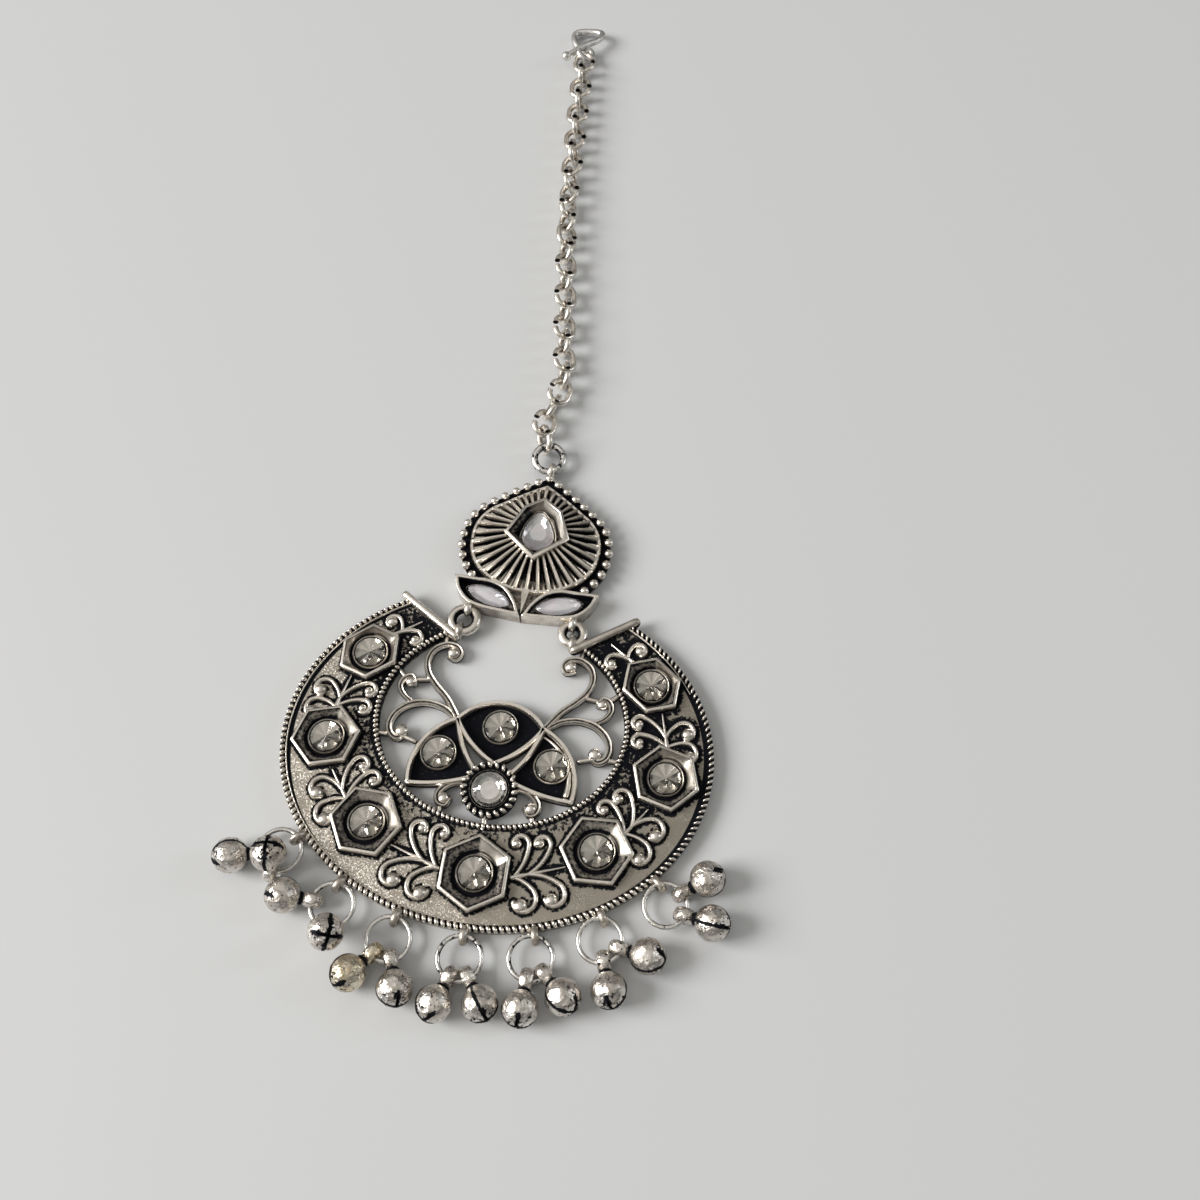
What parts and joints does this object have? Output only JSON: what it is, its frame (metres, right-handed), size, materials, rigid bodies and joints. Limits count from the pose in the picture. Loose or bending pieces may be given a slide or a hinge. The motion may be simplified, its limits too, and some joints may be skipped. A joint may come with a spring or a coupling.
{
  "type": "head chain pendant",
  "caption": "Maang tikka: an openwork crescent set with crystals, a ridged crown above it, bells on rings along its lower rim, and a chain of oval links ending in a hair hook.",
  "frame": {"origin": "on the flat back face of the crescent, at the centre of its round outer rim", "axes": "+Y along the chain towards the hair hook, +X to the wearer's left as seen from the front, +Z out of the front; the back lies on the plane Z = 0"},
  "size_m": [0.0627, 0.1636, 0.0067],
  "materials": {
    "oxidised_silver": "cast and blackened white metal, worn bright on its high points",
    "bright_wire": "drawn wire rings and links, smooth and a little tarnished",
    "bell_silver": "pressed sheet, polished and pitted",
    "chain_silver": "bright drawn wire",
    "hook_wire": "thick wire, matt from wear",
    "clear_crystal": "clear faceted glass stone in a closed setting",
    "pearly_stone": "milky faceted glass stone, foiled at the back"
  },
  "bodies": {
    "root": {"bell_1": "bell_silver", "bell_10": "bell_silver", "bell_11": "bell_silver", "bell_12": "bell_silver", "bell_13": "bell_silver", "bell_14": "bell_silver", "bell_2": "bell_silver", "bell_3": "bell_silver", "bell_4": "bell_silver", "bell_5": "bell_silver", "bell_6": "bell_silver", "bell_7": "bell_silver", "bell_8": "bell_silver", "bell_9": "bell_silver", "centre_stone": "pearly_stone", "chain": "chain_silver", "crescent_plate": "oxidised_silver", "crown_plate": "oxidised_silver", "crown_stone": "pearly_stone", "hook": "hook_wire", "jump_ring_1": "bright_wire", "jump_ring_2": "bright_wire", "jump_ring_3": "bright_wire", "jump_ring_4": "bright_wire", "jump_ring_5": "bright_wire", "jump_ring_6": "bright_wire", "jump_ring_7": "bright_wire", "leaf_stone_left": "pearly_stone", "leaf_stone_right": "pearly_stone", "link_left": "bright_wire", "link_right": "bright_wire", "petal_stone_left": "clear_crystal", "petal_stone_right": "clear_crystal", "petal_stone_top": "clear_crystal", "rim_stone_1": "clear_crystal", "rim_stone_2": "clear_crystal", "rim_stone_3": "clear_crystal", "rim_stone_4": "clear_crystal", "rim_stone_5": "clear_crystal", "rim_stone_6": "clear_crystal", "rim_stone_7": "clear_crystal", "top_ring": "bright_wire"}
  },
  "joints": []
}
